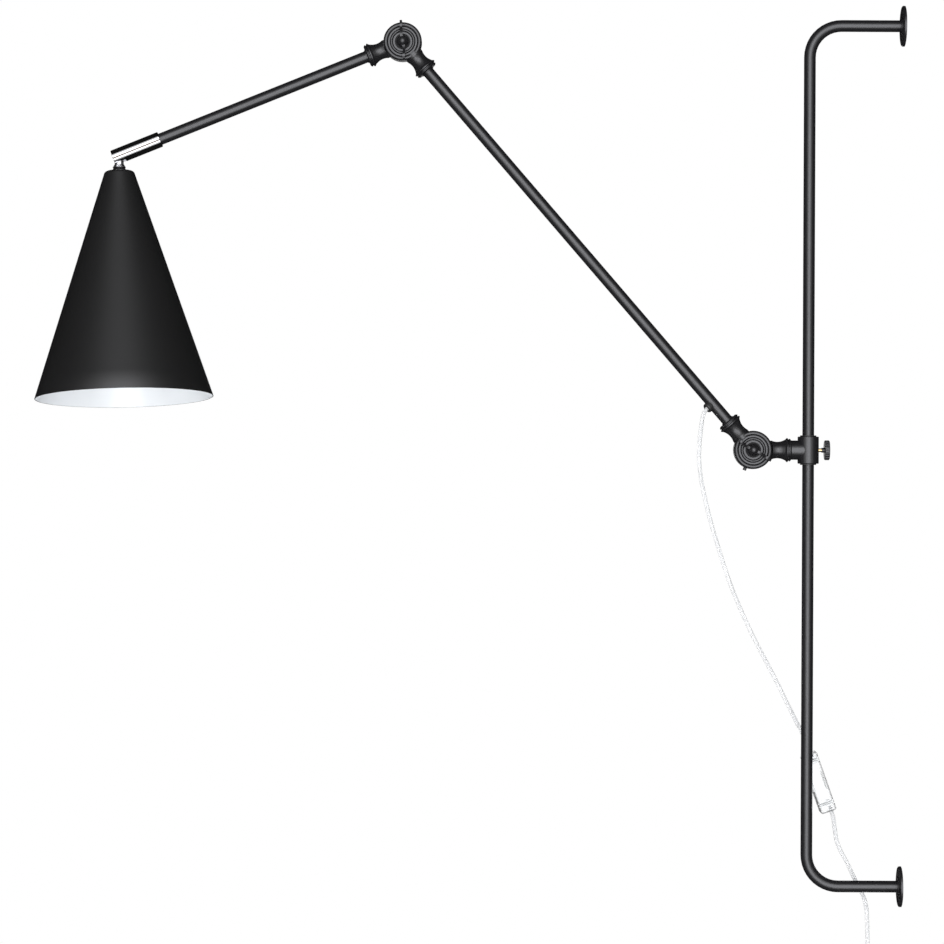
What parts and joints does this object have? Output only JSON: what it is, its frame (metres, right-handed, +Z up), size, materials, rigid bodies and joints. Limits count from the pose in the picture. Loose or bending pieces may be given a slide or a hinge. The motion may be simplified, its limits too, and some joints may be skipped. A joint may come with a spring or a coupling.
{
  "type": "wall lamp",
  "caption": "Wall lamp with a jointed arm that slides and swings on a bent wall bar, a conical shade on a ball swivel, and a hanging cord with an inline switch and a plug.",
  "frame": {"origin": "centre of the lower wall flange's back face", "axes": "+X into the wall, square to the flange's back; +Z up along the bar; -Y towards the viewer in the picture"},
  "size_m": [0.9603, 0.196, 1.2299],
  "materials": {
    "black_paint": "satin black powder coat",
    "zinc_plate": "bright zinc plate",
    "polished_chrome": "polished",
    "brass": "bright brass",
    "black_nylon": "moulded, semi-matt",
    "fibre": "pressed fibre",
    "black_bakelite": "moulded gloss",
    "ceramic": "glazed",
    "cord_plastic": "clear sleeve over pale wires",
    "tie_plastic": "moulded",
    "clear_plastic": "clear, polished",
    "white_plastic": "moulded, satin"
  },
  "bodies": {
    "wall_bar": {"wall_bar_tube": "black_paint", "upper_wall_flange": "black_paint", "lower_wall_flange": "black_paint"},
    "slider": {"slider_bush_upper": "black_nylon", "slider_bush_lower": "black_nylon"},
    "clamp": {"clamp_body": "black_paint", "clamp_nipple": "zinc_plate", "clamp_lock_ring": "black_paint", "base_knuckle_rear": "black_paint", "base_bolt": "zinc_plate", "base_stop_pin": "zinc_plate", "cord_upper": "cord_plastic", "switch_shell_left": "clear_plastic", "switch_shell_right": "clear_plastic", "switch_contacts": "brass", "switch_screws": "zinc_plate", "cord_lower": "cord_plastic", "cord_coil": "cord_plastic", "coil_tie": "tie_plastic", "cord_tail": "cord_plastic", "plug_body": "white_plastic", "plug_pins": "polished_chrome"},
    "thumb_screw": {"thumb_screw_shank": "brass", "thumb_screw_knob": "black_paint"},
    "lower_arm": {"base_knuckle_front": "black_paint", "base_friction_washer": "fibre", "base_flat_washer": "black_paint", "lower_arm_tube": "black_paint", "lower_arm_base_ferrule": "black_paint", "lower_arm_elbow_ferrule": "black_paint", "cord_bushing": "black_nylon", "elbow_knuckle_front": "black_paint", "elbow_friction_washer": "fibre", "elbow_flat_washer": "black_paint", "arm_cord_lower": "cord_plastic"},
    "base_wing_nut": {"base_wing_nut": "black_paint"},
    "upper_arm": {"elbow_knuckle_rear": "black_paint", "elbow_bolt": "zinc_plate", "upper_arm_tube": "black_paint", "upper_arm_ferrule": "black_paint", "upper_arm_end_nut": "zinc_plate", "arm_cord_elbow": "cord_plastic", "arm_cord_upper": "cord_plastic"},
    "elbow_wing_nut": {"elbow_wing_nut": "black_paint"},
    "sleeve": {"end_sleeve": "polished_chrome", "ball_seat": "black_nylon"},
    "shade": {"ball_stud": "polished_chrome", "stem_collar": "polished_chrome", "shade_neck_ring": "black_paint", "shade": "black_paint", "shade_lock_washer": "zinc_plate", "shade_lock_nut": "zinc_plate", "lampholder_cap": "black_bakelite", "lampholder_body": "black_bakelite", "lampholder_insulator": "ceramic", "lampholder_screw_shell": "brass", "lampholder_centre_contact": "brass", "lampholder_terminal_screws": "zinc_plate", "stem_cord": "cord_plastic"},
    "switch_rocker": {"switch_rocker": "clear_plastic"}
  },
  "joints": [
    {"name": "slider_slide", "type": "slide", "parent": "wall_bar", "child": "slider", "axis": [0, 0, 1], "range_m": [-0.43, 0.418]},
    {"name": "slider_swing", "type": "hinge", "parent": "slider", "child": "clamp", "pos_m": [-0.105, 0, 0.484], "axis": [0, 0, 1], "range_deg": [-90, 90], "deforming": ["cord_lower"]},
    {"name": "thumb_screw_turn", "type": "hinge", "parent": "clamp", "child": "thumb_screw", "pos_m": [-0.089, 0, 0.484], "axis": [1, 0, 0], "range_deg": [0, 540]},
    {"name": "base_hinge", "type": "hinge", "parent": "clamp", "child": "lower_arm", "pos_m": [-0.1666, 0, 0.484], "axis": [0, 1, 0], "range_deg": [-84, 35.9], "deforming": ["cord_upper"]},
    {"name": "base_nut_turn", "type": "hinge", "parent": "clamp", "child": "base_wing_nut", "pos_m": [-0.1666, -0.014, 0.484], "axis": [0, -1, 0], "range_deg": [0, 540]},
    {"name": "elbow_hinge", "type": "hinge", "parent": "lower_arm", "child": "upper_arm", "pos_m": [-0.55702, 0, 0.93471], "axis": [0, 1, 0], "range_deg": [-46, 190], "deforming": ["arm_cord_elbow"]},
    {"name": "elbow_nut_turn", "type": "hinge", "parent": "upper_arm", "child": "elbow_wing_nut", "pos_m": [-0.55702, -0.014, 0.93471], "axis": [0, -1, 0], "range_deg": [0, 540]},
    {"name": "sleeve_roll", "type": "hinge", "parent": "upper_arm", "child": "sleeve", "pos_m": [-0.83893, 0, 0.82042], "axis": [-0.9267, 0, -0.3757], "range_deg": [-170, 170]},
    {"name": "shade_tilt", "type": "hinge", "parent": "sleeve", "child": "shade", "pos_m": [-0.87137, 0, 0.80727], "axis": [-0.0344, -0.9958, 0.085], "range_deg": [-68, 25], "deforming": ["stem_cord"]},
    {"name": "rocker_tip", "type": "hinge", "parent": "clamp", "child": "switch_rocker", "pos_m": [-0.09479, 0.022, 0.11206], "axis": [0, 1, 0], "range_deg": [0, 8]}
  ]
}
